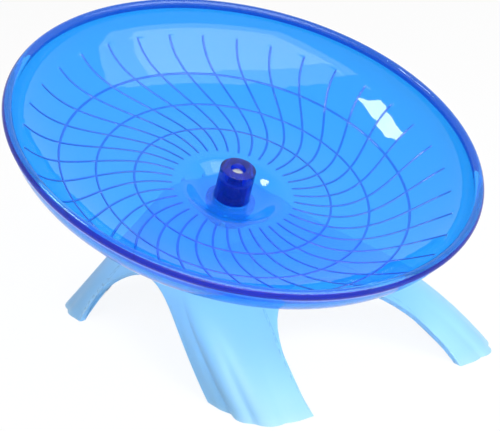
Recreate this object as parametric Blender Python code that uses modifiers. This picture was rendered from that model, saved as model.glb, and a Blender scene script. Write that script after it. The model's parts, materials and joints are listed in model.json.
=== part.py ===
"""Flying saucer wheel for small pets.

A shallow running dish with swept grip ribs turns on a ball bearing. The bearing sits on a steel
axle bolt, and the bolt stands in the tilted head of a one-piece stand with four scalloped feet.
Units are metres and +Z is up. The origin is on the floor, straight below the middle of the rim,
and the dish leans forward, toward -Y. Heights on the axle are measured from the rim plane.
"""
import math

import bmesh
import bpy
from mathutils import Matrix, Vector

# Running dish
rim_radius = 0.0900
rim_bead_radius = 0.0019
bowl_depth = 0.0247
dish_wall = 0.0020
bowl_curve_angle = math.radians(40)
rim_curve_radius = 0.0168
rim_curve_angle = math.radians(75)
rim_lip_run = 0.0031
rim_lip_rise = 0.0011
well_brow_radius = 0.0205
well_foot_radius = 0.0110
well_depth = 0.0032

# Grip ribs and rings on the running face
rib_count = 36
rib_width = 0.0011
rib_relief = 0.0005
rib_start_radius = 0.0231
rib_end_gap = 0.0003
rib_end_run = 0.0012
rib_sweep = math.radians(26)
rib_phase = math.radians(1.1)
rib_longest_step = 0.0120
ring_count = 3

# Tilt and height of the axle
tilt = math.radians(20.5)
rim_height = 0.0702

# Hub sleeve
hub_radius = 0.00685
hub_height = 0.0129
hub_edge = 0.0005
hub_eye_radius = 0.0028
hub_eye_depth = 0.0055
hub_flange_radius = 0.0095
hub_flange_wall = 0.0014
seat_slot_width = 0.0016
seat_slot_height = 0.0040

# Ball bearing, 5 x 16 x 5 mm
bearing_radius = 0.0080
bearing_width = 0.0050
ball_radius = 0.0015
ball_count = 7
ball_circle_radius = 0.00525
ring_land = 0.0010
groove_gap = 0.0001
cage_width = 0.0011
cage_base = 0.0004
cage_drop = 0.0007
ball_pocket_gap = 0.00012
shield_thickness = 0.0003
shield_inset = 0.0001

# Axle bolt, nut, washers and spacer
axle_radius = 0.0025
axle_tip_depth = 0.0015
axle_tip_edge = 0.0005
bolt_head_flats = 0.0080
bolt_head_height = 0.0035
nut_flats = 0.0080
nut_height = 0.0040
nut_room_radius = 0.0050
small_washer_radius = 0.0041
upper_washer_thickness = 0.0006
spacer_washer_thickness = 0.0008
lower_washer_radius = 0.0050
lower_washer_thickness = 0.0010

# Stand
stand_wall = 0.0022
head_half_width = 0.0240
head_corner = 0.0190
boss_radius = 0.0070
boss_height = 0.0080
foot_front = 0.0841
foot_rear = 0.0510
foot_half_width = 0.0562
foot_corner = 0.0140
front_foot_length = 0.0300
front_foot_width = 0.0232
rear_foot_length = 0.0217
rear_foot_width = 0.0242
toe_relief = 0.0013
toe_fade_share = 0.55
front_toes = 4
rear_toes = 3

# The stand's shoulders, measured in from the feet and up from the floor
front_shoulder_inset = 0.0444
front_shoulder_drop = 0.0043
rear_shoulder_inset = 0.0082
rear_shoulder_drop = 0.0213
side_shoulder_inset = 0.0062

# Arches between the legs, their crowns measured down from the middle of the head
side_arch_drop = 0.0113
side_arch_rear_run = 0.0220
front_arch_drop = 0.0105
rear_arch_drop = 0.0103

# Two curve handles on the way up an arch, as shares of its run and of its height
side_arch_front_shares = ((0.18, 0.28), (0.59, 1.0))
side_arch_rear_shares = ((0.0, 0.61), (0.56, 1.0))
end_arch_shares = ((0.0, 0.50), (0.20, 1.0))

# Clearances and working sizes
seat_gap = 0.0003
fit_gap = 0.0002
cut_overrun = 0.0060
union_depth = 0.0010
weld_distance = 0.00001

# The bowl's curve and its floor take what the rim's curve and lip leave of its depth and width
rim_curve_rise = rim_curve_radius * (math.cos(bowl_curve_angle) - math.cos(rim_curve_angle))
rim_curve_run = rim_curve_radius * (math.sin(rim_curve_angle) - math.sin(bowl_curve_angle))
bowl_curve_rise = bowl_depth - rim_lip_rise - rim_curve_rise
bowl_curve_radius = bowl_curve_rise / (1 - math.cos(bowl_curve_angle))
bowl_curve_run = bowl_curve_radius * math.sin(bowl_curve_angle)
floor_radius = rim_radius - rim_lip_run - rim_curve_run - bowl_curve_run

# Ribs end where the bowl's curve does, and the rings share out their run
rib_end_radius = floor_radius + bowl_curve_run - rib_end_gap
rib_run = rib_end_radius - rib_start_radius
ring_radii = [rib_start_radius + rib_run * (i + 1) / (ring_count + 1) for i in range(ring_count)]

# Places on the axle, measured down from the rim plane
floor_level = -bowl_depth
well_level = floor_level - well_depth
hub_top = well_level + hub_height
flange_top = well_level - dish_wall - seat_gap
pocket_roof = flange_top - hub_flange_wall
bearing_top = pocket_roof - seat_gap
bearing_middle = bearing_top - bearing_width / 2
bearing_bottom = bearing_top - bearing_width
flange_bottom = bearing_bottom - seat_gap
upper_washer_bottom = bearing_top + seat_gap
nut_bottom = upper_washer_bottom + upper_washer_thickness + seat_gap
spacer_top = bearing_bottom - seat_gap
head_top = spacer_top - spacer_washer_thickness - seat_gap
head_height = rim_height + head_top * math.cos(tilt)
boss_bottom = head_top - boss_height
lower_washer_top = boss_bottom - seat_gap
bolt_head_top = lower_washer_top - lower_washer_thickness - seat_gap
axle_tip = hub_top - axle_tip_depth

well_steps = 5
hub_steps = 36
small_steps = 20
arch_steps = 8
toe_steps = 5
skirt_shares = (-0.05, 0.02, 0.1, 0.2, 0.3, 0.42, 0.54, 0.66, 0.78, 0.89, 1.0)


def clear_scene():
    for old in list(bpy.data.objects):
        bpy.data.objects.remove(old, do_unlink=True)


def new_collection(name, hidden=False):
    collection = bpy.data.collections.new(name)
    bpy.context.scene.collection.children.link(collection)
    collection.hide_render = hidden
    return collection


def make_material(name, colour, roughness, metallic=0.0, alpha=1.0):
    material = bpy.data.materials.new(name)
    material.use_nodes = True
    shader = material.node_tree.nodes["Principled BSDF"]
    shader.inputs["Base Color"].default_value = (*colour, 1.0)
    shader.inputs["Roughness"].default_value = roughness
    shader.inputs["Metallic"].default_value = metallic
    shader.inputs["Alpha"].default_value = alpha
    material.diffuse_color = (*colour, alpha)
    return material


def add_object(name, mesh, collection, material=None, parent=None):
    obj = bpy.data.objects.new(name, mesh)
    collection.objects.link(obj)
    if material:
        mesh.materials.append(material)
    if parent:
        obj.parent = parent
    return obj


def add_cutter(name, mesh, parent=None):
    cutter = add_object(name, mesh, cutters, parent=parent)
    cutter.hide_render = True
    cutter.display_type = "WIRE"
    return cutter


def add_boolean(obj, other, operation="DIFFERENCE"):
    modifier = obj.modifiers.new(operation.title() + " " + other.name, "BOOLEAN")
    modifier.operation = operation
    modifier.object = other
    modifier.solver = "EXACT"
    return modifier


def add_axis(name, location, angle):
    axis = bpy.data.objects.new(name, None)
    axis.empty_display_size = rim_radius
    axis.location = location
    axis.rotation_euler = (angle, 0.0, 0.0)
    parts.objects.link(axis)
    return axis


def arc(centre, radius, start, end, steps):
    """Points on an arc in the (radius, height) plane, angles from the +radius direction."""
    points = []
    for i in range(steps + 1):
        angle = start + (end - start) * i / steps
        points.append((centre[0] + radius * math.cos(angle), centre[1] + radius * math.sin(angle)))
    return points


def profile_mesh(name, points, closed):
    mesh = bpy.data.meshes.new(name)
    edges = [(i, i + 1) for i in range(len(points) - 1)]
    if closed:
        edges.append((len(points) - 1, 0))
    mesh.from_pydata([(radius, 0.0, height) for radius, height in points], edges, [])
    return mesh


def lathe(name, points, steps, material, parent, closed=True):
    """Turn a profile round the object's Z axis. It runs down on its outer side."""
    obj = add_object(name, profile_mesh(name, points, closed), parts, material, parent)
    add_screw(obj, steps, closed)
    return obj


def add_screw(obj, steps, closed):
    screw = obj.modifiers.new("Turn", "SCREW")
    screw.axis = "Z"
    screw.angle = math.tau
    screw.steps = steps
    screw.render_steps = steps
    screw.use_merge_vertices = not closed
    screw.merge_threshold = weld_distance
    screw.use_smooth_shade = True


def ring_profile(inner, outer, bottom, top, edge=0.0):
    """A rectangular section, with its four edges eased when edge is given."""
    if not edge:
        return [(inner, top), (outer, top), (outer, bottom), (inner, bottom)]
    return [
        (inner + edge, top), (outer - edge, top), (outer, top - edge), (outer, bottom + edge),
        (outer - edge, bottom), (inner + edge, bottom), (inner, bottom + edge), (inner, top - edge),
    ]


def cylinder_mesh(name, radius, bottom, top, segments, turn=0.0):
    mesh = bpy.data.meshes.new(name)
    form = bmesh.new()
    bmesh.ops.create_cone(
        form, cap_ends=True, segments=segments, radius1=radius, radius2=radius, depth=top - bottom,
        matrix=Matrix.Translation((0.0, 0.0, (top + bottom) / 2)) @ Matrix.Rotation(turn, 4, "Z"))
    form.to_mesh(mesh)
    form.free()
    return mesh


def block_mesh(name, size, middle):
    mesh = bpy.data.meshes.new(name)
    form = bmesh.new()
    bmesh.ops.create_cube(form, size=1.0, matrix=Matrix.Translation(middle) @ Matrix.Diagonal(
        (*size, 1.0)))
    form.to_mesh(mesh)
    form.free()
    return mesh


def wall_centres():
    """Centres of the bowl's curve and of the tighter curve up to the rim."""
    curve_centre = (floor_radius, floor_level + bowl_curve_radius)
    join = (
        curve_centre[0] + bowl_curve_radius * math.sin(bowl_curve_angle),
        curve_centre[1] - bowl_curve_radius * math.cos(bowl_curve_angle))
    rim_centre = (
        join[0] - rim_curve_radius * math.sin(bowl_curve_angle),
        join[1] + rim_curve_radius * math.cos(bowl_curve_angle))
    return curve_centre, rim_centre


def wall_points(offset, curve_steps, rim_steps):
    """The bowl's wall seen in section, from the rim down, offset outward by a wall thickness."""
    curve_centre, rim_centre = wall_centres()
    quarter = math.pi / 2
    rim_part = arc(rim_centre, rim_curve_radius + offset, rim_curve_angle - quarter,
                   bowl_curve_angle - quarter, rim_steps)
    bowl_part = arc(curve_centre, bowl_curve_radius + offset, bowl_curve_angle - quarter,
                    -quarter, curve_steps)
    return rim_part + bowl_part[1:]


def well_points(offset):
    """The soft step from the floor down into the well, from outside inward."""
    points = []
    for i in range(well_steps + 1):
        share = i / well_steps
        run = well_brow_radius - well_foot_radius
        slope = math.pi / 2 * math.sin(math.pi * share) * well_depth / run
        fall = well_depth * (1 - math.cos(math.pi * share)) / 2
        drop = offset / math.hypot(1.0, slope)
        points.append((well_brow_radius - run * share + drop * slope, floor_level - fall - drop))
    return points


def face_at(radius):
    """The running face's height between the well and the rim's curve, and its normal."""
    lean = math.asin(max(radius - floor_radius, 0.0) / bowl_curve_radius)
    height = floor_level + bowl_curve_radius * (1 - math.cos(lean))
    return height, (-math.sin(lean), math.cos(lean))


def rib_row_radii():
    """Where the ribbed face has rows: at the ribs' ends, across each ring, and midway between."""
    marks = [rib_start_radius, rib_start_radius + rib_end_run]
    for ring in ring_radii:
        marks += [ring - rib_width / 2, ring, ring + rib_width / 2]
    marks += [rib_end_radius - rib_end_run, rib_end_radius]
    radii = []
    for mark, following in zip(marks, marks[1:]):
        radii.append(mark)
        if following - mark > rib_longest_step:
            radii.append((mark + following) / 2)
    return radii + marks[-1:]


def rib_turn(radius):
    """How far a rib has swept round the axle at a radius."""
    share = (radius - rib_start_radius) / rib_run
    share = min(max(share, 0.0), 1.0)
    return rib_phase + rib_sweep * (1 - math.cos(math.pi * share)) / 2


def on_axle(radius, angle, height):
    return Vector((radius * math.cos(angle), radius * math.sin(angle), height))


def plain_row(radius, height):
    """A ring of points round the axle, two for each rib: under its crest and in the gap."""
    pitch = math.tau / rib_count
    return [on_axle(radius, rib_turn(radius) + pitch * i / 2, height)
            for i in range(2 * rib_count)]


def ribbed_row(radius):
    """A ring of points on the ribbed face, four for each rib: its crest, feet and gap."""
    height, normal = face_at(radius)
    pitch = math.tau / rib_count
    run = rib_end_run / 2
    lean = radius * (rib_turn(radius + run) - rib_turn(radius - run)) / (2 * run)
    half = rib_width / 2 * math.hypot(1.0, lean) / radius
    raised = rib_start_radius < radius < rib_end_radius
    on_ring = radius in ring_radii
    points = []
    for i in range(rib_count):
        for turn, relief in ((0.0, raised), (half, on_ring), (pitch / 2, on_ring),
                             (pitch - half, on_ring)):
            rise = rib_relief * relief
            points.append(on_axle(radius + rise * normal[0], rib_turn(radius) + pitch * i + turn,
                                  height + rise * normal[1]))
    return points


def dish_rows():
    """The dish's section as rings of points, from the hub's hole over the rim and back below."""
    bead = (rim_radius - rim_bead_radius, 0.0)
    inner = wall_points(0.0, 1, 2)[:3]
    outer = wall_points(dish_wall, 5, 2)
    inner_join = math.atan2(inner[0][1] - bead[1], inner[0][0] - bead[0]) + math.tau
    outer_join = math.atan2(outer[0][1] - bead[1], outer[0][0] - bead[0])
    hole = hub_radius + fit_gap
    rows = [plain_row(hole, well_level)]
    rows += [plain_row(*point) for point in reversed(well_points(0.0))]
    rows += [ribbed_row(radius) for radius in rib_row_radii()]
    rows += [plain_row(*point) for point in reversed(inner[1:])]
    rows += [plain_row(*point) for point in arc(bead, rim_bead_radius, inner_join, outer_join, 5)]
    rows += [plain_row(*point) for point in outer[1:] + well_points(dish_wall)]
    return rows + [plain_row(hole, well_level - dish_wall)]


def make_dish(parent):
    """The dish's wall and its ribs in one: a loft through rings that turn with the ribs' sweep."""
    form = bmesh.new()
    rings = [[form.verts.new(point) for point in row] for row in dish_rows()]
    for ring, following in zip(rings, rings[1:] + rings[:1]):
        steps = 2 * rib_count
        for i in range(steps):
            corners = []
            for side in (ring, following):
                per_step = len(side) // steps
                corners.append([side[(i * per_step + k) % len(side)] for k in range(per_step + 1)])
            form.faces.new(corners[0] + corners[1][::-1])
    bmesh.ops.recalc_face_normals(form, faces=form.faces)
    mesh = bpy.data.meshes.new("running_dish")
    form.to_mesh(mesh)
    form.free()
    mesh.shade_smooth()
    return add_object("running_dish", mesh, parts, blue_clear, parent)


def make_hub_sleeve(parent):
    profile = [
        (hub_eye_radius + hub_edge, hub_top),
        (hub_radius - hub_edge, hub_top),
        (hub_radius, hub_top - hub_edge),
        (hub_radius, flange_top),
        (hub_flange_radius - hub_edge, flange_top),
        (hub_flange_radius, flange_top - hub_edge),
        (hub_flange_radius, flange_bottom),
        (bearing_radius + fit_gap, flange_bottom),
        (bearing_radius + fit_gap, pocket_roof),
        (nut_room_radius, pocket_roof),
        (nut_room_radius, hub_top - hub_eye_depth),
        (hub_eye_radius, hub_top - hub_eye_depth),
        (hub_eye_radius, hub_top - hub_edge),
    ]
    sleeve = lathe("hub_sleeve", profile, hub_steps, blue_deep, parent)
    for i in range(2):
        slot = add_cutter("seat_slot_" + str(i + 1), block_mesh("seat_slot", (
            2 * hub_flange_radius + cut_overrun, seat_slot_width, 2 * seat_slot_height),
            (0.0, 0.0, flange_bottom)), parent)
        slot.rotation_euler = (0.0, 0.0, math.pi / 4 + i * math.pi / 2)
        add_boolean(sleeve, slot)


def make_bearing(spin_axis, cage_axis, axle_axis):
    half = bearing_width / 2
    groove = ball_radius + groove_gap
    land = ball_circle_radius - ring_land
    opening = math.acos(ring_land / groove)
    inner_race = arc((ball_circle_radius, bearing_middle), groove, math.pi - opening,
                     math.pi + opening, 6)
    inner_ring = [(axle_radius + fit_gap, bearing_middle + half), (land, bearing_middle + half)]
    inner_ring += inner_race
    inner_ring += [(land, bearing_middle - half), (axle_radius + fit_gap, bearing_middle - half)]
    lathe("bearing_inner_ring", inner_ring, small_steps, steel, axle_axis)

    land = ball_circle_radius + ring_land
    outer_race = arc((ball_circle_radius, bearing_middle), groove, -opening, opening, 6)
    outer_ring = [(land, bearing_middle + half), (bearing_radius, bearing_middle + half)]
    outer_ring += [(bearing_radius, bearing_middle - half), (land, bearing_middle - half)]
    outer_ring += outer_race
    lathe("bearing_outer_ring", outer_ring, small_steps, steel, spin_axis)

    pocket_radius = ball_radius + ball_pocket_gap
    cage_inner = ball_circle_radius - cage_width / 2
    cage = lathe("bearing_cage", ring_profile(
        cage_inner, cage_inner + cage_width, bearing_middle - cage_drop,
        bearing_middle + pocket_radius + cage_base), small_steps * 2, cage_plastic, cage_axis)
    for i in range(ball_count):
        turn = math.tau * i / ball_count
        centre = Vector((ball_circle_radius * math.cos(turn), ball_circle_radius * math.sin(turn),
                         bearing_middle))
        ball_mesh = sphere_mesh("ball", ball_radius, 10, 6)
        ball = add_object("bearing_ball_" + str(i + 1), ball_mesh, parts, steel, cage_axis)
        ball.location = centre
        pocket = add_cutter("ball_pocket_" + str(i + 1),
                            sphere_mesh("ball_pocket", pocket_radius, 10, 7), cage_axis)
        pocket.location = centre
        add_boolean(cage, pocket)

    for name, side in (("bearing_shield_upper", 1), ("bearing_shield_lower", -1)):
        outside = bearing_middle + side * (half - shield_inset)
        inside = outside - side * shield_thickness
        lathe(name, ring_profile(ball_circle_radius - ring_land + fit_gap,
                                 ball_circle_radius + ring_land - shield_inset,
                                 min(inside, outside), max(inside, outside)),
              small_steps, steel, spin_axis)


def sphere_mesh(name, radius, segments, rings):
    mesh = bpy.data.meshes.new(name)
    form = bmesh.new()
    bmesh.ops.create_uvsphere(form, u_segments=segments, v_segments=rings, radius=radius)
    form.to_mesh(mesh)
    form.free()
    mesh.shade_smooth()
    return mesh


def make_axle(parent):
    shank = [
        (0.0, axle_tip), (axle_radius - axle_tip_edge, axle_tip),
        (axle_radius, axle_tip - axle_tip_edge), (axle_radius, bolt_head_top - union_depth),
        (0.0, bolt_head_top - union_depth),
    ]
    bolt = lathe("axle_bolt", shank, small_steps, steel, parent, closed=False)
    corner = bolt_head_flats / 2 / math.cos(math.pi / 6)
    head = add_cutter("bolt_head", cylinder_mesh(
        "bolt_head", corner, bolt_head_top - bolt_head_height, bolt_head_top, 6), parent)
    add_boolean(bolt, head, "UNION")

    corner = nut_flats / 2 / math.cos(math.pi / 6)
    nut = add_object("lock_nut", cylinder_mesh(
        "lock_nut", corner, nut_bottom, nut_bottom + nut_height, 6), parts, steel, parent)
    bore = add_cutter("nut_bore", cylinder_mesh(
        "nut_bore", axle_radius + fit_gap, nut_bottom - cut_overrun,
        nut_bottom + nut_height + cut_overrun, small_steps), parent)
    add_boolean(nut, bore)

    hole = axle_radius + fit_gap
    for name, radius, top, thickness in (
            ("washer_upper", small_washer_radius, upper_washer_bottom + upper_washer_thickness,
             upper_washer_thickness),
            ("washer_spacer", small_washer_radius, spacer_top, spacer_washer_thickness),
            ("washer_lower", lower_washer_radius, lower_washer_top, lower_washer_thickness)):
        lathe(name, ring_profile(hole, radius, top - thickness, top), small_steps, steel, parent)


def curve_point(first, control, last, share):
    """A point on a quadratic curve; shares below zero run on past its first end."""
    return tuple((1 - share) ** 2 * a + 2 * share * (1 - share) * b + share ** 2 * c
                 for a, b, c in zip(first, control, last))


def head_edge(side):
    """The head's front (side 1) or rear (side -1) edge, as (forward, height)."""
    forward = head_top * math.sin(tilt) + side * head_half_width * math.cos(tilt)
    height = head_height - side * head_half_width * math.sin(tilt)
    return forward, height


def skirt_section(share):
    """Front end, rear end, half width and corner radius of the skirt; share 0 is the floor."""
    front = curve_point((foot_front, 0.0),
                        (foot_front - front_shoulder_inset, head_height - front_shoulder_drop),
                        head_edge(1), share)
    rear = curve_point((-foot_rear, 0.0),
                       (rear_shoulder_inset - foot_rear, head_height - rear_shoulder_drop),
                       head_edge(-1), share)
    half_width = curve_point((foot_half_width,), (foot_half_width - side_shoulder_inset,),
                             (head_half_width,), share)[0]
    corner = foot_corner + (head_corner - foot_corner) * max(share, 0.0)
    return Vector((-front[0], front[1])), Vector((-rear[0], rear[1])), half_width, corner


def outline_stations():
    """Stations round half the floor outline, from the front middle to the rear middle.

    Each is (part, share along that part, groove). The groove is 1 between two toes and 0 on a
    toe's crest and off the feet.
    """
    flat = foot_half_width - foot_corner
    quarter = foot_corner * math.pi / 2
    side = foot_front + foot_rear - 2 * foot_corner
    lengths = (("front", flat), ("front_corner", quarter), ("side", side),
               ("rear_corner", quarter), ("rear", flat))
    around = 2 * flat + 2 * quarter + side
    front_foot = (foot_half_width - front_foot_width,
                  flat + quarter + front_foot_length - foot_corner)
    rear_foot = (flat + quarter + side + foot_corner - rear_foot_length,
                 around - (foot_half_width - rear_foot_width))
    marks = [(0.0, 0.0)]

    def add_run(end, steps, toes=0):
        start = marks[-1][0]
        for i in range(1, steps + 1):
            phase = toes * i / steps
            between = 0.5 < phase < toes - 0.5
            groove = 1 - abs(math.sin(math.pi * phase)) if between else 0.0
            marks.append((start + (end - start) * i / steps, groove))

    add_run(front_foot[0], 4)
    add_run(front_foot[1], front_toes * toe_steps, front_toes)
    add_run(rear_foot[0], 7)
    add_run(rear_foot[1], rear_toes * toe_steps, rear_toes)
    add_run(around, 4)

    stations = []
    for place, groove in marks:
        for part, length in lengths:
            if place <= length + weld_distance:
                break
            place -= length
        stations.append((part, min(place / length, 1.0), groove))
    return stations


def skirt_point(share, part, along, groove):
    """A point of the skirt in world space, on the side where X is positive."""
    front, rear, half_width, corner = skirt_section(share)
    half_length = (rear - front).length / 2
    middle = (front + rear) / 2
    lengthwise = (rear - front).normalized()
    flat = half_width - corner
    angle = along * math.pi / 2
    if part == "front":
        spot, normal = Vector((flat * along, -half_length)), Vector((0.0, -1.0))
    elif part == "front_corner":
        normal = Vector((math.sin(angle), -math.cos(angle)))
        spot = Vector((flat, corner - half_length)) + corner * normal
    elif part == "side":
        normal = Vector((1.0, 0.0))
        spot = Vector((half_width, (half_length - corner) * (2 * along - 1)))
    elif part == "rear_corner":
        normal = Vector((math.cos(angle), math.sin(angle)))
        spot = Vector((flat, half_length - corner)) + corner * normal
    else:
        spot, normal = Vector((flat * (1 - along), half_length)), Vector((0.0, 1.0))
    fade = max(1 - max(share, 0.0) / toe_fade_share, 0.0)
    spot -= normal * toe_relief * fade * groove
    across = middle + lengthwise * spot.y
    return Vector((spot.x, across.x, across.y))


def skirt_mesh():
    """Half of the stand's outer face: a loft from the feet's outline up to the tilted head."""
    stations = outline_stations()
    form = bmesh.new()
    rows = [[form.verts.new(skirt_point(share, *station)) for station in stations]
            for share in skirt_shares]
    for lower, upper in zip(rows, rows[1:]):
        for i in range(len(stations) - 1):
            form.faces.new((lower[i], lower[i + 1], upper[i + 1], upper[i]))
    form.faces.new(rows[-1])
    bmesh.ops.recalc_face_normals(form, faces=form.faces)
    mesh = bpy.data.meshes.new("stand")
    form.to_mesh(mesh)
    form.free()
    return mesh


def half_arch(foot, crown, handle_shares):
    """Points on a curve from an arch's foot up to its crown, as (across, up).

    The first point carries the curve straight on to below the floor.
    """
    run, height = crown[0] - foot, crown[1]
    handles = [(foot + run * along, height * up) for along, up in handle_shares]
    corners = [(foot, 0.0), *handles, crown]
    lean = (handles[0][0] - foot) / handles[0][1]
    points = [(foot - lean * cut_overrun, -cut_overrun)]
    for i in range(1, arch_steps + 1):
        t = i / arch_steps
        weights = ((1 - t) ** 3, 3 * t * (1 - t) ** 2, 3 * t ** 2 * (1 - t), t ** 3)
        points.append(tuple(sum(weight * corner[axis] for weight, corner in zip(weights, corners))
                            for axis in (0, 1)))
    return points


def arch_outline(first, last, crown, first_shares, last_shares):
    """An arch from its first foot over the crown to its last foot."""
    rise = half_arch(first, crown, first_shares)
    fall = half_arch(last, crown, last_shares)
    return rise + fall[-2::-1]


def prism_cutter(name, outline, start, end, turn):
    """A closed outline in (across, up), extruded from start to end along its own normal."""
    curve = bpy.data.curves.new(name, "CURVE")
    curve.dimensions = "2D"
    curve.fill_mode = "BOTH"
    curve.extrude = (end - start) / 2
    spline = curve.splines.new("POLY")
    spline.points.add(len(outline) - 1)
    for point, (across, up) in zip(spline.points, outline):
        point.co = (across, up, 0.0, 1.0)
    spline.use_cyclic_u = True
    guide = bpy.data.objects.new(name + "_outline", curve)
    cutters.objects.link(guide)
    bpy.context.view_layer.update()
    mesh = bpy.data.meshes.new_from_object(
        guide.evaluated_get(bpy.context.evaluated_depsgraph_get()))
    bpy.data.objects.remove(guide)
    form = bmesh.new()
    form.from_mesh(mesh)
    bmesh.ops.remove_doubles(form, verts=form.verts, dist=weld_distance)
    bmesh.ops.recalc_face_normals(form, faces=form.faces)
    form.to_mesh(mesh)
    form.free()
    cutter = add_cutter(name, mesh)
    cutter.rotation_euler = turn
    cutter.location = Matrix.Rotation(turn[2], 3, "Z") @ Matrix.Rotation(turn[0], 3, "X") @ Vector(
        (0.0, 0.0, (start + end) / 2))
    return cutter


def make_stand(axle_axis):
    stand = add_object("stand", skirt_mesh(), parts, blue_frosted)
    mirror = stand.modifiers.new("Mirror", "MIRROR")
    mirror.use_axis = (True, False, False)
    mirror.merge_threshold = weld_distance
    shell = stand.modifiers.new("Wall", "SOLIDIFY")
    shell.thickness = stand_wall
    shell.offset = -1.0
    shell.use_even_offset = True

    boss = add_cutter("axle_boss", cylinder_mesh(
        "axle_boss", boss_radius, boss_bottom, head_top - union_depth, hub_steps), axle_axis)
    add_boolean(stand, boss, "UNION")
    bore = add_cutter("axle_bore", cylinder_mesh(
        "axle_bore", axle_radius + fit_gap, boss_bottom - cut_overrun, head_top + cut_overrun,
        small_steps), axle_axis)
    add_boolean(stand, bore)

    reach = foot_half_width + cut_overrun
    add_boolean(stand, make_floor_cutter(reach))
    quarter = math.pi / 2
    rear_edge = foot_rear - rear_foot_length
    side_outline = arch_outline(front_foot_length - foot_front, rear_edge,
                                (rear_edge - side_arch_rear_run, head_height - side_arch_drop),
                                side_arch_front_shares, side_arch_rear_shares)
    front_edge = foot_half_width - front_foot_width
    front_outline = arch_outline(-front_edge, front_edge, (0.0, head_height - front_arch_drop),
                                 end_arch_shares, end_arch_shares)
    rear_edge = foot_half_width - rear_foot_width
    rear_outline = arch_outline(-rear_edge, rear_edge, (0.0, head_height - rear_arch_drop),
                                end_arch_shares, end_arch_shares)
    for name, outline, start, end, turn in (
            ("side_arch_right", side_outline, head_half_width, reach, quarter),
            ("side_arch_left", side_outline, -reach, -head_half_width, quarter),
            ("front_arch", front_outline, head_edge(1)[0], foot_front + cut_overrun, 0.0),
            ("rear_arch", rear_outline, -foot_rear - cut_overrun, head_edge(-1)[0] + 2 * stand_wall,
             0.0)):
        add_boolean(stand, prism_cutter(name, outline, start, end, (quarter, 0.0, turn)))


def make_floor_cutter(reach):
    """A block whose top face trims the feet flat on the floor."""
    size = (2 * reach, foot_front + foot_rear + 2 * cut_overrun, 2 * cut_overrun)
    middle = (0.0, (foot_rear - foot_front) / 2, -cut_overrun)
    return add_cutter("floor_cut", block_mesh("floor_cut", size, middle))


clear_scene()
parts = new_collection("flying_saucer_wheel")
cutters = new_collection("cutters", hidden=True)

blue_clear = make_material("clear blue plastic", (0.03, 0.35, 0.95), 0.12, alpha=0.55)
blue_deep = make_material("deep blue plastic", (0.02, 0.04, 0.55), 0.2)
blue_frosted = make_material("frosted light blue plastic", (0.40, 0.72, 0.93), 0.4, alpha=0.8)
steel = make_material("bright steel", (0.62, 0.62, 0.60), 0.25, metallic=1.0)
cage_plastic = make_material("nylon", (0.80, 0.78, 0.70), 0.5)

rim_centre = (0.0, 0.0, rim_height)
spin_axis = add_axis("dish_axis", rim_centre, tilt)
cage_axis = add_axis("cage_axis", rim_centre, tilt)
axle_axis = add_axis("axle_axis", rim_centre, tilt)

make_dish(spin_axis)
make_hub_sleeve(spin_axis)
make_bearing(spin_axis, cage_axis, axle_axis)
make_axle(axle_axis)
make_stand(axle_axis)
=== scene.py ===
"""Looks of the flying saucer wheel: a clear blue running dish on a frosted four-footed stand.

The turning pieces and the hardware are modelled in axle space, where +Z runs up the axle and the
origin is the middle of the dish's rim, and are then laid in the frame. The stand is modelled in
the frame. Lengths are in metres and heights on the axle are measured from the rim plane.
"""
import json
import math

import bmesh
import bpy
from mathutils import Matrix, Vector


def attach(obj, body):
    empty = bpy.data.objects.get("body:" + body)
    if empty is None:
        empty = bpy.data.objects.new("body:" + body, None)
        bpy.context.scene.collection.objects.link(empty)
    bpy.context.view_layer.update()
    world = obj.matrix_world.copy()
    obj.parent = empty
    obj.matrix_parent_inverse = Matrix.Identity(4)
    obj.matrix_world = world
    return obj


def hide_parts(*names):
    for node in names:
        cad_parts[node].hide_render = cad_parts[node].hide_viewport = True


MM = 0.001
TURN = math.tau
QUARTER = math.pi / 2

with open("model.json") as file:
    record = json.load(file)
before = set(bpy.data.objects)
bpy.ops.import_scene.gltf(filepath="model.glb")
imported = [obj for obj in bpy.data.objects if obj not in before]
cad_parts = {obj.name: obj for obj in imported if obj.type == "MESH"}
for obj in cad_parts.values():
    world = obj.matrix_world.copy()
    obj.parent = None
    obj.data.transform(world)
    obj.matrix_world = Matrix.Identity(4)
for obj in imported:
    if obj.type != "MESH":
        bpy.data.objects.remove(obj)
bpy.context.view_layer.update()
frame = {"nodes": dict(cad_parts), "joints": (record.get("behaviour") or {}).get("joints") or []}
spin_joint = next(joint for joint in frame["joints"] if joint["name"] == "dish_spin")
axle_turn = Vector((0, 0, 1)).rotation_difference(Vector(spin_joint["axis"]))
RIM_CENTRE = Vector(spin_joint["pos_m"])
AXLE = Matrix.Translation(RIM_CENTRE) @ axle_turn.to_matrix().to_4x4()

# Running dish
RIM_RADIUS = 90.0 * MM
BEAD_RADIUS = 1.9 * MM
FLOOR = -24.7 * MM
FLOOR_RADIUS = 40.04 * MM
DISH_WALL = 2.0 * MM
BOWL_CURVE = 64.45 * MM
BOWL_ANGLE = math.radians(40)
RIM_CURVE = 16.8 * MM
RIM_ANGLE = math.radians(75)
WELL_BROW = 20.5 * MM
WELL_FOOT = 11.0 * MM
WELL_LEVEL = -27.9 * MM
BOWL_EDGE = FLOOR_RADIUS + BOWL_CURVE * math.sin(BOWL_ANGLE)
HOLE_GAP = 0.2 * MM  # between the hub and the dish's hole

# Grip ribs and rings, raised on the running face
RIB_COUNT = 36
RIB_START = 23.1 * MM
RIB_END = 81.17 * MM
RIB_SWEEP = math.radians(26)
RIB_PHASE = math.radians(1.1)
RIB_HEIGHT = 0.24 * MM
RIB_HALF_WIDTH = 0.45 * MM
RIB_END_RUN = 1.0 * MM
WIDEST_RIB_SHARE = 0.35
RING_SHARES = (0.25, 0.5, 0.75)
RING_RADII = [RIB_START + (RIB_END - RIB_START) * share for share in RING_SHARES]
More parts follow.
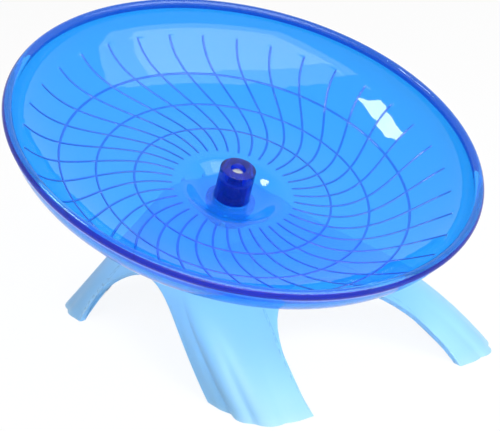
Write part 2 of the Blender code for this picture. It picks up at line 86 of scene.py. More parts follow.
# Shares of half a rib's width and of its height, from one side to the other
RIB_SECTION = ((-1.0, 0.0), (-0.72, 0.8), (-0.5, 1.0), (0.0, 1.0),
               (0.5, 1.0), (0.72, 0.8), (1.0, 0.0))
# The dish's second and third materials: darker, less clear copies of its plastic that paint shade
# on the rim's bead and on the ribs and rings
RIM_PAINTED_SHADE_SLOT, RIB_PAINTED_SHADE_SLOT = 1, 2
GAP_COLUMNS = 3
COLUMNS_PER_RIB = len(RIB_SECTION) + GAP_COLUMNS

# Rows of points on the dish
BEAD_STEPS = 22
RIM_STEPS = 8
BOWL_STEPS = 20
WELL_STEPS = 16
FLOOR_ROWS = (36 * MM, 32 * MM, 28 * MM, 24 * MM)
WELL_ROW = 9.0 * MM
FACE_STEP = 1.6 * MM
FACE_MARGIN = 0.6 * MM
CLOSEST_ROWS = 0.7 * MM
ROW_TOLERANCE = 0.01 * MM
SHARE_TOLERANCE = 0.01
# Rows at each end of a rib, measured inward from the end
RIB_END_ROWS = (-0.3 * MM, 0.0, 0.25 * MM, 0.6 * MM, 1.0 * MM)

# Hub sleeve
HUB_RADIUS = 6.85 * MM
HUB_TOP = -15.0 * MM
HUB_EYE_RADIUS = 2.8 * MM
HUB_EYE_DEPTH = 5.5 * MM
FLANGE_RADIUS = 9.5 * MM
FLANGE_TOP = -30.2 * MM
FLANGE_BOTTOM = -37.2 * MM
FLANGE_WALL = 1.4 * MM
NUT_ROOM_RADIUS = 5.0 * MM
SEAT_GAP = 0.2 * MM  # between the bearing and its seat
HUB_DRAFT = 0.1 * MM
HUB_EDGE = 0.4 * MM
HUB_STEPS = 96
SEAT_SLOTS = 4
SEAT_SLOT_SIZE = (4.0 * MM, 1.6 * MM, 5.0 * MM)
SEAT_SLOT_RISE = 1.5 * MM
FLANGE_MARGIN = 0.2 * MM

# Ball bearing, 5 x 16 x 5 mm
BEARING_TOP = -31.9 * MM
BEARING_WIDTH = 5.0 * MM
BEARING_RADIUS = 8.0 * MM
BALL_CIRCLE = 5.25 * MM
BALL_RADIUS = 1.5 * MM
BALL_COUNT = 7
GROOVE_GAP = 0.1 * MM
GROOVE_STEPS = 10
RACE_LAND = 1.0 * MM
RACE_EDGE = 0.3 * MM
POCKET_GAP = 0.15 * MM
CAGE_BASE = 0.4 * MM
CLAW_DROP = 0.7 * MM
CAGE_HALF_WIDTH = 0.55 * MM
CAGE_STEPS = 168
SHIELD_INSET = 0.1 * MM
SHIELD_SHEET = 0.25 * MM
SHIELD_DIP = 0.05 * MM
SHIELD_INNER = BALL_CIRCLE - 0.8 * MM
SHIELD_OUTER = BALL_CIRCLE + 0.9 * MM
SHIELD_INNER_FLAT, SHIELD_OUTER_FLAT = 0.3 * MM, 0.3 * MM
SHIELD_OUTER_RUN = 0.5 * MM
TURNED_STEPS = 72

# Axle bolt, nut and washers. The nut's collar holds a nylon insert that grips the thread
AXLE_RADIUS = 2.5 * MM
AXLE_TIP = -16.5 * MM
BOLT_HEAD_TOP = -47.9 * MM
BOLT_HEAD_HEIGHT = 3.5 * MM
HEX_FLATS = 8.0 * MM
NUT_BOTTOM = -30.7 * MM
NUT_HEIGHT = 4.0 * MM
THREAD_PITCH = 0.8 * MM
THREAD_DEPTH = 0.35 * MM
THREAD_SLOPE = 2.4
THREAD_ROWS = 8
THREAD_COLUMNS = 36
THREAD_RUN_OUT = 1.0 * MM
THREAD_BELOW_NUT = 2.0 * MM
TIP_CHAMFER = 0.6 * MM
HEAD_OVERLAP = 0.5 * MM
HEX_CHAMFER = 0.45 * MM
HEX_INSET = 0.1 * MM
HEX_MARGIN = 0.2 * MM
OVERRUN = 1.0 * MM
NUT_TOP = NUT_BOTTOM + NUT_HEIGHT
NUT_COLLAR = 1.1 * MM
COLLAR_INNER, COLLAR_OUTER = 2.0 * MM, 3.7 * MM
COLLAR_OVERLAP = 0.5 * MM
COLLAR_EDGE = 0.25 * MM
INSERT_INNER = 2.6 * MM
INSERT_OUTER = 3.22 * MM
INSERT_ROOM_OUTER = 3.25 * MM
INSERT_ROOM_DEPTH = 1.0 * MM
INSERT_BOTTOM_DEPTH = 0.95 * MM
INSERT_TOP_DEPTH = 0.15 * MM
INSERT_EDGE = 0.1 * MM
WASHER_EDGE = 0.12 * MM

# Stand
STAND_WALL = 2.2 * MM
HEAD_TOP = -38.3 * MM
HEAD_HALF_WIDTH = 24.0 * MM
HEAD_CORNER = 19.0 * MM
BOSS_RADIUS = 7.0 * MM
BOSS_HEIGHT = 8.0 * MM
BOSS_DRAFT = 0.15 * MM
BORE_RADIUS = 2.7 * MM
HEAD_INSET = 2.0 * MM
HEAD_RING_RADII = (14.0 * MM, 9.0 * MM)
BOSS_RING_RADIUS = 5.0 * MM
HEAD_EDGE = 1.2 * MM
HEAD_EDGE_STEPS = 4
SKIRT_EDGE = 0.4 * MM
SKIRT_EDGE_STEPS = 3
BEVELLED_ANGLE = math.radians(40)
HEAD_EDGE_REACH = 20 * MM
LEVEL_TOLERANCE = 0.1 * MM
FOOT_FRONT = 84.1 * MM
FOOT_REAR = 51.0 * MM
FOOT_HALF_WIDTH = 56.2 * MM
FOOT_CORNER = 14.0 * MM
FRONT_SHOULDER = (39.7 * MM, 30.0 * MM)
REAR_SHOULDER = (42.8 * MM, 13.0 * MM)
SIDE_SHOULDER = 50.0 * MM
TOE_RELIEF = 1.3 * MM
TOE_FADE = 0.55
FRONT_TOES = 4
REAR_TOES = 3
COLUMNS_PER_TOE = 10
STRIP = 1.2 * MM
SKIRT_STEPS = 15
# Places on the skirt, as shares, where a foot is drawn below the floor before the floor cuts it
FOOT_EDGE_SHARE, FOOT_STRIP_SHARE = -0.06, -0.025
LOWEST_SHARE = -0.3
LOWEST_INNER_TOP = 0.6
BELOW_FLOOR = 3.0 * MM
SMALL_ARCH_STEPS = 14
LARGE_ARCH_STEPS = 20
# Halvings of a search along the skirt, and the step that finds its slope: a share of the way
# up it, and a number of mm along it
SEARCH_STEPS = 26
TOP_SEARCH_STEPS = 20
SLOPE_STEP = 0.001

# Arches between the legs: foot, crown, and the two curve handles on the way up, as shares of the
# run and of the height. A side arch is measured along Y and an end arch along X.
SIDE_ARCH_FRONT = (-54.1 * MM, (7.3 * MM, 23.0 * MM), ((0.18, 0.28), (0.59, 1.0)))
SIDE_ARCH_REAR = (29.3 * MM, (7.3 * MM, 23.0 * MM), ((0.0, 0.61), (0.56, 1.0)))
FRONT_ARCH = (33.0 * MM, (0.0, 23.8 * MM), ((0.0, 0.50), (0.20, 1.0)))
REAR_ARCH = (32.0 * MM, (0.0, 24.0 * MM), ((0.0, 0.50), (0.20, 1.0)))


# Nodes, colours and materials

POLYSTYRENE_IOR = 1.38


def linear(hex_colour):
    """A linear RGBA value from an sRGB hex colour such as 3FA9F5."""
    channels = []
    for i in (0, 2, 4):
        value = int(hex_colour[i:i + 2], 16) / 255
        channels.append(value / 12.92 if value <= 0.04045 else ((value + 0.055) / 1.055) ** 2.4)
    return (*channels, 1.0)


def add_node(tree, kind, settings=None, links=None):
    """Add a node, set its sockets and properties by name, and link sockets to other outputs."""
    node = tree.nodes.new(kind)
    for name, value in (settings or {}).items():
        if isinstance(name, int) or name in node.inputs:
            node.inputs[name].default_value = value
        else:
            setattr(node, name, value)
    for name, output in (links or {}).items():
        tree.links.new(output, node.inputs[name])
    return node


def new_material(name):
    """A material with an empty node tree, and that tree."""
    material = bpy.data.materials.new(name)
    material.use_nodes = True
    material.node_tree.nodes.clear()
    return material, material.node_tree


def let_lamps_through(tree, surface, tint, share):
    """Let a share of the lamps' rays pass, tinted, so that what lies under the plastic is lit."""
    path = add_node(tree, "ShaderNodeLightPath")
    film = add_node(tree, "ShaderNodeBsdfTransparent", {"Color": linear(tint)})
    factor = add_node(tree, "ShaderNodeMath", {"operation": "MULTIPLY", 1: share},
                      {0: path.outputs["Is Shadow Ray"]})
    return add_node(tree, "ShaderNodeMixShader", None,
                    {0: factor.outputs[0], 1: surface.outputs[0], 2: film.outputs[0]})


def clear_polystyrene(name, tint, clarity, film_tint="FFFFFF", film_share=1.0):
    """Injection-moulded clear polystyrene with a glassy polish. tint is the colour of one wall.

    The dye is in the surface and the index is under the real 1.59: an absorbing volume, or more
    rays caught inside the wall, would turn ribs and rim black.
    """
    material, tree = new_material(name)
    place = add_node(tree, "ShaderNodeTexCoord")
    waves = add_node(tree, "ShaderNodeTexNoise", {"Scale": 1 / (9 * MM), "Detail": 1.0},
                     {"Vector": place.outputs["Object"]})
    bump = add_node(tree, "ShaderNodeBump", {"Strength": 0.05, "Distance": 0.4 * MM},
                    {"Height": waves.outputs["Fac"]})
    surface = add_node(tree, "ShaderNodeBsdfPrincipled",
                       {"Base Color": linear(tint), "Roughness": 0.02, "IOR": POLYSTYRENE_IOR,
                        "Transmission Weight": clarity}, {"Normal": bump.outputs["Normal"]})
    mix = let_lamps_through(tree, surface, film_tint, film_share)
    add_node(tree, "ShaderNodeOutputMaterial", None, {"Surface": mix.outputs[0]})
    return material


def frosted_polypropylene():
    """Moulded polypropylene with a spark-eroded matt skin: milky, it lets some light through."""
    material, tree = new_material("frosted polypropylene")
    place = add_node(tree, "ShaderNodeTexCoord")
    grain = add_node(tree, "ShaderNodeTexNoise", {"Scale": 1 / (0.6 * MM), "Detail": 2.0},
                     {"Vector": place.outputs["Object"]})
    bump = add_node(tree, "ShaderNodeBump", {"Strength": 0.12, "Distance": 0.05 * MM},
                    {"Height": grain.outputs["Fac"]})
    surface = add_node(tree, "ShaderNodeBsdfPrincipled",
                       {"Base Color": linear("94C8E8"), "Roughness": 0.42, "IOR": 1.49,
                        "Transmission Weight": 0.2}, {"Normal": bump.outputs["Normal"]})
    mix = let_lamps_through(tree, surface, "CFE9FB", 0.6)
    add_node(tree, "ShaderNodeOutputMaterial", None, {"Surface": mix.outputs[0]})
    return material


def steel(name, colour, roughness, grain_size, grain_strength):
    """Steel that is ground or plated: a metal whose fine grain breaks up its reflections."""
    material, tree = new_material(name)
    place = add_node(tree, "ShaderNodeTexCoord")
    grain = add_node(tree, "ShaderNodeTexNoise", {"Scale": 1 / grain_size, "Detail": 3.0},
                     {"Vector": place.outputs["Object"]})
    rough = add_node(tree, "ShaderNodeMapRange",
                     {"To Min": roughness * 0.7, "To Max": roughness * 1.3},
                     {"Value": grain.outputs["Fac"]})
    bump = add_node(tree, "ShaderNodeBump", {"Strength": grain_strength, "Distance": 0.02 * MM},
                    {"Height": grain.outputs["Fac"]})
    surface = add_node(tree, "ShaderNodeBsdfPrincipled",
                       {"Base Color": linear(colour), "Metallic": 1.0},
                       {"Roughness": rough.outputs["Result"], "Normal": bump.outputs["Normal"]})
    add_node(tree, "ShaderNodeOutputMaterial", None, {"Surface": surface.outputs[0]})
    return material


def moulded_nylon():
    """Unfilled nylon: an off-white, waxy moulding."""
    material, tree = new_material("natural nylon")
    place = add_node(tree, "ShaderNodeTexCoord")
    mottle = add_node(tree, "ShaderNodeTexNoise", {"Scale": 1 / (1.5 * MM)},
                      {"Vector": place.outputs["Object"]})
    colour = add_node(tree, "ShaderNodeMix", {"data_type": "RGBA"},
                      {"Factor": mottle.outputs["Fac"]})
    colour.inputs[6].default_value = linear("EDE8D6")
    colour.inputs[7].default_value = linear("DDD6C0")
    surface = add_node(tree, "ShaderNodeBsdfPrincipled", {"Roughness": 0.45, "IOR": 1.53},
                       {"Base Color": colour.outputs[2]})
    add_node(tree, "ShaderNodeOutputMaterial", None, {"Surface": surface.outputs[0]})
    return material


# Modelling helpers

def spun(form, points, steps, closed=True):
    """Turn a profile of (radius, height) points round the axle, running down on its outer side."""
    verts = [form.verts.new((radius, 0.0, height)) for radius, height in points]
    edges = [form.edges.new(pair) for pair in zip(verts, verts[1:])]
    if closed:
        edges.append(form.edges.new((verts[-1], verts[0])))
    bmesh.ops.spin(form, geom=verts + edges, cent=(0, 0, 0), axis=(0, 0, 1), angle=TURN,
                   steps=steps, use_merge=True)
    if not closed:
        bmesh.ops.remove_doubles(form, verts=form.verts, dist=0.01 * MM)
    bmesh.ops.recalc_face_normals(form, faces=form.faces)


def arc(centre, radius, start, end, steps):
    """Points on an arc in the (radius, height) plane, angles from the +radius direction."""
    return [(centre[0] + radius * math.cos(start + (end - start) * i / steps),
             centre[1] + radius * math.sin(start + (end - start) * i / steps))
            for i in range(steps + 1)]


def eased(corners, edge):
    """A closed profile with each corner rounded to a radius of about edge."""
    steps = 3
    points = []
    befores, afters = corners[-1:] + corners[:-1], corners[1:] + corners[:1]
    for before, corner, after in zip(befores, corners, afters):
        corner = Vector(corner)
        start = corner + (Vector(before) - corner).normalized() * edge
        end = corner + (Vector(after) - corner).normalized() * edge
        for i in range(steps + 1):
            t = i / steps
            points.append(tuple((1 - t) ** 2 * start + 2 * t * (1 - t) * corner + t * t * end))
    return points


def ring_section(inner, outer, bottom, top):
    """The four corners of a turned ring's section."""
    return [(inner, top), (outer, top), (outer, bottom), (inner, bottom)]


def finish_piece(form, name, material, body, replaced=(), place=AXLE, sharp=30):
    """Lay a finished form in the frame, and make it a piece that rides on its body."""
    bmesh.ops.transform(form, matrix=place, verts=form.verts)
    mesh = bpy.data.meshes.new(name)
    form.to_mesh(mesh)
    form.free()
    mesh.shade_smooth()
    mesh.set_sharp_from_angle(angle=math.radians(sharp))
    mesh.materials.append(material)
    piece = bpy.data.objects.new(name, mesh)
    bpy.context.scene.collection.objects.link(piece)
    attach(piece, body)
    if replaced:
        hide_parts(*replaced)
    return piece


def carve(form, cutter_form, operation="DIFFERENCE"):
    """Boolean two closed forms, and give the result as a new form."""
    objects = []
    for each in (form, cutter_form):
        mesh = bpy.data.meshes.new("carving")
        each.to_mesh(mesh)
        each.free()
        objects.append(bpy.data.objects.new("carving", mesh))
        bpy.context.scene.collection.objects.link(objects[-1])
    modifier = objects[0].modifiers.new("Carve", "BOOLEAN")
    modifier.operation = operation
    modifier.solver = "EXACT"
    modifier.object = objects[1]
    bpy.context.view_layer.update()
    result = bpy.data.meshes.new_from_object(
        objects[0].evaluated_get(bpy.context.evaluated_depsgraph_get()))
    carved = bmesh.new()
    carved.from_mesh(result)
    for used in objects:
        bpy.data.objects.remove(used)
    return carved


# Running dish

def face_at(radius):
    """A point of the running face on the floor or the bowl curve, and its normal."""
    lean = math.asin(max(radius - FLOOR_RADIUS, 0.0) / BOWL_CURVE)
    point = (radius, FLOOR + BOWL_CURVE * (1 - math.cos(lean)))
    return point, (-math.sin(lean), math.cos(lean))


def rim_centre():
    """The centre of the tighter curve between the bowl and the rim's bead."""
    (radius, height), (inward, upward) = face_at(BOWL_EDGE)
    return radius + RIM_CURVE * inward, height + RIM_CURVE * upward


def well_points(offset):
    """The soft step from the floor down into the well, from outside inward."""
    points = []
    run, depth = WELL_BROW - WELL_FOOT, FLOOR - WELL_LEVEL
    for i in range(WELL_STEPS + 1):
        share = i / WELL_STEPS
        slope = math.pi / 2 * math.sin(math.pi * share) * depth / run
        drop = offset / math.hypot(1.0, slope)
        points.append((WELL_BROW - run * share + drop * slope,
                       FLOOR - depth * (1 - math.cos(math.pi * share)) / 2 - drop))
    return points


def face_radii():
    """Where the running face has rows: evenly, and closer at each ring and rib end."""
    close = [RIB_START + run for run in RIB_END_ROWS]
    close += [RIB_END - run for run in RIB_END_ROWS]
    for ring in RING_RADII:
        close += [ring + RIB_HALF_WIDTH * share for share, _ in RIB_SECTION]
    radii = list(close)
    radius = WELL_BROW + FACE_MARGIN
    while radius < BOWL_EDGE - FACE_MARGIN:
        if min(abs(radius - other) for other in close) > CLOSEST_ROWS:
            radii.append(radius)
        radius += FACE_STEP
    return sorted(radii, reverse=True)


def ring_relief(radius):
    """Height of the nearest ring at a radius, as a share of a rib's height."""
    for ring in RING_RADII:
        across = abs(radius - ring) / RIB_HALF_WIDTH
        for share, height in RIB_SECTION:
            if abs(share - across) < SHARE_TOLERANCE:
                return height
    return 0.0


def is_ring_row(radius):
    """Whether a radius is on one of the raised rings, their edges included."""
    return any(abs(radius - ring) < RIB_HALF_WIDTH + ROW_TOLERANCE for ring in RING_RADII)


def rib_reach(radius):
    """How far a rib has risen at a radius: 0 beyond its ends, 1 along it, rounded between."""
    run = min(radius - RIB_START, RIB_END - radius) / RIB_END_RUN
    run = min(max(run, 0.0), 1.0)
    return math.sqrt(1 - (1 - run) ** 2)


def rib_turn(radius):
    """How far a rib has swept round at a radius."""
    share = min(max((radius - RIB_START) / (RIB_END - RIB_START), 0.0), 1.0)
    return RIB_SWEEP * (1 - math.cos(math.pi * share)) / 2


def column_turns(radius):
    """Angles of one rib's columns at a radius: across the rib, then across the gap after it."""
    pitch = TURN / RIB_COUNT
    step = 0.1 * MM
    lean = radius * (rib_turn(radius + step) - rib_turn(radius - step)) / (2 * step)
    half = min(RIB_HALF_WIDTH * math.hypot(1.0, lean) / radius, WIDEST_RIB_SHARE * pitch)
    across = [half * share for share, _ in RIB_SECTION]
    gap = pitch - 2 * half
    across += [half + gap * (i + 1) / (GAP_COLUMNS + 1) for i in range(GAP_COLUMNS)]
    return [RIB_PHASE + rib_turn(radius) + turn for turn in across]


def make_dish():
    """The clear dish: one turned wall, whose running face is then swept and raised into ribs."""
    rim = rim_centre()
    bead = (RIM_RADIUS - BEAD_RADIUS, 0.0)
    rim_start, rim_end = RIM_ANGLE - QUARTER, BOWL_ANGLE - QUARTER
    rim_rows = arc(rim, RIM_CURVE, rim_start, rim_end, RIM_STEPS)[:-1]
    under_rim = arc(rim, RIM_CURVE + DISH_WALL, rim_start, rim_end, RIM_STEPS)
    bowl_centre = (FLOOR_RADIUS, FLOOR + BOWL_CURVE)
    under_bowl = arc(bowl_centre, BOWL_CURVE + DISH_WALL, rim_end, -QUARTER, BOWL_STEPS)[1:]
    inner_join = math.atan2(rim_rows[0][1] - bead[1], rim_rows[0][0] - bead[0]) + TURN
    outer_join = math.atan2(under_rim[0][1] - bead[1], under_rim[0][0] - bead[0])
    bead_rows = arc(bead, BEAD_RADIUS, inner_join, outer_join, BEAD_STEPS)
    floor_rows = [(radius, FLOOR - DISH_WALL) for radius in FLOOR_ROWS]
    hole = HUB_RADIUS + HOLE_GAP
    underside = (under_rim[1:] + under_bowl + floor_rows + well_points(DISH_WALL)
                 + [(WELL_ROW, WELL_LEVEL - DISH_WALL), (hole, WELL_LEVEL - DISH_WALL)])
    well_face = [(hole, WELL_LEVEL), (WELL_ROW, WELL_LEVEL)] + well_points(0.0)[::-1]
    grip = [face_at(radius) for radius in reversed(face_radii())]
    first_grip = len(bead_rows + underside + well_face)
    crest_row = min(row for row, point in enumerate(bead_rows)
                    if point[0] > bead[0] + BEAD_RADIUS / 2)
    profile = (bead_rows + underside + well_face + [point for point, _ in grip]
               + rim_rows[:0:-1])

    form = bmesh.new()
    row_of = form.verts.layers.int.new("row")
    verts = [form.verts.new((radius, 0.0, height)) for radius, height in profile]
    for row, vert in enumerate(verts):
        vert[row_of] = row
    edges = [form.edges.new(pair) for pair in zip(verts, verts[1:] + verts[:1])]
    columns = RIB_COUNT * COLUMNS_PER_RIB
    bmesh.ops.spin(form, geom=verts + edges, cent=(0, 0, 0), axis=(0, 0, 1), angle=TURN,
                   steps=columns, use_merge=True)
    turns = [column_turns(radius) for radius, _ in profile]
    raised = set()
    for vert in form.verts:
        row = vert[row_of]
        column = round(math.atan2(vert.co.y, vert.co.x) % TURN / TURN * columns) % columns
        rib, place = divmod(column, COLUMNS_PER_RIB)
        radius, height = profile[row]
        if first_grip <= row < first_grip + len(grip):
            inward, upward = grip[row - first_grip][1]
            share = rib_reach(radius) * (RIB_SECTION[place][1] if place < len(RIB_SECTION) else 0.0)
            relief = RIB_HEIGHT * max(share, ring_relief(radius))
            on_rib = place < len(RIB_SECTION) and rib_reach(radius) > 0
            if on_rib or is_ring_row(radius):
                raised.add(vert)
            radius, height = radius + relief * inward, height + relief * upward
        angle = TURN * rib / RIB_COUNT + turns[row][place]
        vert.co = (radius * math.cos(angle), radius * math.sin(angle), height)
    for face in form.faces:
        if all(crest_row <= vert[row_of] < len(bead_rows) for vert in face.verts):
            # Painted shade: the rim's bead gets a darker, less clear copy of the dish's plastic
            face.material_index = RIM_PAINTED_SHADE_SLOT
        elif all(vert in raised for vert in face.verts):
            # Painted shade: the raised ribs and rings get a darker, less clear copy of the dish's
            # plastic
            face.material_index = RIB_PAINTED_SHADE_SLOT
    bmesh.ops.recalc_face_normals(form, faces=form.faces)
    dish = finish_piece(form, "clear_dish", polystyrene, "dish_body",
                        ["running_dish"], sharp=50)
    dish.data.materials.append(rim_polystyrene_painted_shade)
    dish.data.materials.append(rib_polystyrene_painted_shade)


def make_hub():
    """The hub's sleeve, with the eye in its top and the slotted seat that grips the bearing."""
    bearing_seat = BEARING_RADIUS + SEAT_GAP
    seat_roof = FLANGE_TOP - FLANGE_WALL
    corners = [
        (HUB_EYE_RADIUS, HUB_TOP), (HUB_RADIUS - HUB_DRAFT, HUB_TOP), (HUB_RADIUS, FLANGE_TOP),
        (FLANGE_RADIUS, FLANGE_TOP), (FLANGE_RADIUS, FLANGE_BOTTOM), (bearing_seat, FLANGE_BOTTOM),
        (bearing_seat, seat_roof), (NUT_ROOM_RADIUS, seat_roof),
        (NUT_ROOM_RADIUS, HUB_TOP - HUB_EYE_DEPTH), (HUB_EYE_RADIUS, HUB_TOP - HUB_EYE_DEPTH),
    ]
    form = bmesh.new()
    spun(form, eased(corners, HUB_EDGE), HUB_STEPS)
    slots = bmesh.new()
    size = Matrix.Diagonal((*SEAT_SLOT_SIZE, 1.0))
    shift = Matrix.Translation((FLANGE_RADIUS, 0.0, FLANGE_BOTTOM + SEAT_SLOT_RISE))
    for i in range(SEAT_SLOTS):
        box = bmesh.ops.create_cube(slots, size=1.0)["verts"]
        turn = Matrix.Rotation(TURN * (i + 0.5) / SEAT_SLOTS, 4, "Z")
        bmesh.ops.transform(slots, verts=box, matrix=turn @ shift @ size)
    form = carve(form, slots)
    # The flange and seat have the dish's own plastic, and only the sleeve is deep blue
    for face in form.faces:
        face.material_index = int(face.calc_center_median().z < FLANGE_TOP + FLANGE_MARGIN)
    hub = finish_piece(form, "hub_moulding", deep_polystyrene, "dish_body",
                       ["hub_sleeve"])
    hub.data.materials.append(polystyrene)


# Ball bearing

def make_bearing():
    """The ball bearing: two grooved rings, seven balls in their cage, and two shields."""
    middle = BEARING_TOP - BEARING_WIDTH / 2
    bottom = BEARING_TOP - BEARING_WIDTH
    groove = BALL_RADIUS + GROOVE_GAP
    opening = math.acos(RACE_LAND / groove)
    for name, body, land, outside, race in (
            ("inner_race", "stand_body", BALL_CIRCLE - RACE_LAND, BORE_RADIUS,
             (2 * QUARTER - opening, 2 * QUARTER + opening)),
            ("outer_race", "dish_body", BALL_CIRCLE + RACE_LAND, BEARING_RADIUS,
             (opening, -opening))):
        edge = RACE_EDGE if outside > land else -RACE_EDGE
        profile = [(land, BEARING_TOP), (outside - edge, BEARING_TOP),
                   (outside, BEARING_TOP - abs(edge)), (outside, bottom + abs(edge)),
                   (outside - edge, bottom), (land, bottom)]
        groove_points = arc((BALL_CIRCLE, middle), groove, *race, GROOVE_STEPS)
        if groove_points[0][1] > groove_points[-1][1]:
            groove_points.reverse()
        form = bmesh.new()
        spun(form, profile + groove_points, TURNED_STEPS)
        finish_piece(form, name, bearing_steel, body,
                     ["bearing_" + name.replace("race", "ring")])

    for i in range(BALL_COUNT):
        angle = TURN * i / BALL_COUNT
        centre = (BALL_CIRCLE * math.cos(angle), BALL_CIRCLE * math.sin(angle), middle)
        form = bmesh.new()
        bmesh.ops.create_uvsphere(form, u_segments=32, v_segments=20, radius=BALL_RADIUS,
                                  matrix=Matrix.Translation(centre))
        finish_piece(form, "ball_" + str(i + 1), bearing_steel, "cage_body",
                     ["bearing_ball_" + str(i + 1)])
    make_cage(middle)

    for name, side in (("shield_upper", 1), ("shield_lower", -1)):
        face = middle + side * (BEARING_WIDTH / 2 - SHIELD_INSET)
        pressing = [(SHIELD_INNER, 0.0), (SHIELD_INNER + SHIELD_INNER_FLAT, SHIELD_DIP),
                    (SHIELD_OUTER - SHIELD_OUTER_RUN, SHIELD_DIP),
                    (SHIELD_OUTER - SHIELD_OUTER_FLAT, 0.0), (SHIELD_OUTER, 0.0)]
        top = [(radius, face - side * drop) for radius, drop in pressing]
        under = [(radius, height - side * SHIELD_SHEET) for radius, height in reversed(top)]
        form = bmesh.new()
        spun(form, top + under, TURNED_STEPS)
        finish_piece(form, name, bearing_steel, "dish_body", ["bearing_" + name])


def make_cage(middle):
    """The crown cage: a nylon ring above the balls, with a claw on each side of every ball."""
    pocket = BALL_RADIUS + POCKET_GAP
    crown = middle + pocket + CAGE_BASE
    drop = middle - CLAW_DROP
    form = bmesh.new()
    spun(form, ring_section(BALL_CIRCLE - CAGE_HALF_WIDTH, BALL_CIRCLE + CAGE_HALF_WIDTH,
                            drop, crown), CAGE_STEPS)
    for vert in form.verts:
        if vert.co.z > middle:
            continue
        around = math.atan2(vert.co.y, vert.co.x) / TURN * BALL_COUNT
        away = abs(around - round(around)) * TURN / BALL_COUNT * BALL_CIRCLE
        if away < pocket:
            vert.co.z = middle + math.sqrt(pocket ** 2 - away ** 2)
    finish_piece(form, "crown_cage", nylon, "cage_body", ["bearing_cage"])


# Axle bolt, nut and washers

def hexagon(bottom, top, chamfered):
    """A hexagon bar, its ends turned to a cone on the sides named in chamfered."""
    corner = HEX_FLATS / 2 / math.cos(math.pi / 6)
    bar = bmesh.new()
    bmesh.ops.create_cone(bar, cap_ends=True, segments=6, radius1=corner, radius2=corner,
                          depth=top - bottom,
                          matrix=Matrix.Translation((0.0, 0.0, (top + bottom) / 2)))
    turned = bmesh.new()
    inner, outer = HEX_FLATS / 2 - HEX_INSET, corner + HEX_MARGIN
    reach = {True: 0.0, False: OVERRUN}
    high = top + reach["top" in chamfered]
    low = bottom - reach["bottom" in chamfered]
    profile = [(0.0, high), (inner if "top" in chamfered else outer, high),
               (outer, high - HEX_CHAMFER), (outer, low + HEX_CHAMFER),
               (inner if "bottom" in chamfered else outer, low), (0.0, low)]
    spun(turned, profile, TURNED_STEPS, closed=False)
    return carve(bar, turned, "INTERSECT")


def threaded_rod(bottom, top, thread_bottom):
    """A rod with a rolled thread down to thread_bottom and a chamfered tip."""
    form = bmesh.new()
    levels = [top]
    while levels[-1] > thread_bottom:
        levels.append(levels[-1] - THREAD_PITCH / THREAD_ROWS)
    levels += [thread_bottom - THREAD_RUN_OUT, bottom]
    profile = [(0.0, top)] + [(AXLE_RADIUS, level) for level in levels] + [(0.0, bottom)]
    spun(form, profile, THREAD_COLUMNS, closed=False)
    for vert in form.verts:
        radius = math.hypot(vert.co.x, vert.co.y)
        if radius < AXLE_RADIUS / 2 or vert.co.z < thread_bottom:
            continue
        phase = (vert.co.z / THREAD_PITCH - math.atan2(vert.co.y, vert.co.x) / TURN) % 1.0
        depth = THREAD_DEPTH * min(1.0, THREAD_SLOPE * abs(phase - 0.5))
        tip = max(TIP_CHAMFER - (top - vert.co.z), 0.0)
        scale = (AXLE_RADIUS - max(depth, tip)) / radius
        vert.co.x *= scale
        vert.co.y *= scale
    return form


def make_axle():
    """The axle bolt, the nut with its nylon insert, and the washers."""
    head = hexagon(BOLT_HEAD_TOP - BOLT_HEAD_HEIGHT, BOLT_HEAD_TOP, ("bottom",))
    rod = threaded_rod(BOLT_HEAD_TOP - HEAD_OVERLAP, AXLE_TIP, NUT_BOTTOM - THREAD_BELOW_NUT)
    finish_piece(carve(head, rod, "UNION"), "axle_screw", zinc_steel, "stand_body",
                 ["axle_bolt"])

    form = hexagon(NUT_BOTTOM, NUT_TOP - NUT_COLLAR, ("top", "bottom"))
    collar = bmesh.new()
    spun(collar, eased(ring_section(COLLAR_INNER, COLLAR_OUTER,
                                    NUT_TOP - NUT_COLLAR - COLLAR_OVERLAP, NUT_TOP),
                       COLLAR_EDGE), TURNED_STEPS)
    form = carve(form, collar, "UNION")
    bore = bmesh.new()
    high, low = NUT_TOP + OVERRUN, NUT_BOTTOM - OVERRUN
    spun(bore, [(0.0, high), (BORE_RADIUS, high), (BORE_RADIUS, low), (0.0, low)], TURNED_STEPS,
         closed=False)
    form = carve(form, bore)
    room = bmesh.new()
    spun(room, ring_section(INSERT_INNER, INSERT_ROOM_OUTER, NUT_TOP - INSERT_ROOM_DEPTH, high),
         TURNED_STEPS)
    finish_piece(carve(form, room), "stop_nut", zinc_steel, "stand_body",
                 ["lock_nut"])
    form = bmesh.new()
    spun(form, eased(ring_section(INSERT_INNER, INSERT_OUTER, NUT_TOP - INSERT_BOTTOM_DEPTH,
                                  NUT_TOP - INSERT_TOP_DEPTH), INSERT_EDGE), TURNED_STEPS)
    finish_piece(form, "nut_insert", nylon, "stand_body")

    for name in ("washer_upper", "washer_spacer", "washer_lower"):
        low, high = on_axle(name)
        form = bmesh.new()
        spun(form, eased(ring_section(BORE_RADIUS, high.x, low.z, high.z), WASHER_EDGE),
             TURNED_STEPS)
        finish_piece(form, name + "_ring", zinc_steel, "stand_body", [name])


def on_axle(node):
    """A turned CAD node's lowest and highest corners in axle space."""
    back = AXLE.inverted()
    points = [back @ vert.co for vert in frame["nodes"][node].data.vertices]
    return (Vector(min(point[axis] for point in points) for axis in range(3)),
            Vector(max(point[axis] for point in points) for axis in range(3)))


# Stand

def curve_point(first, control, last, share):
    """The point at share, 0 to 1, of the curve from first to last that bends to control."""
    return tuple((1 - share) ** 2 * a + 2 * share * (1 - share) * b + share ** 2 * c
                 for a, b, c in zip(first, control, last))


def head_edge(side):
    """The head's front (side -1) or rear (side 1) edge, as (Y, Z)."""
    edge = AXLE @ Vector((0.0, side * HEAD_HALF_WIDTH, HEAD_TOP))
    return edge.y, edge.z


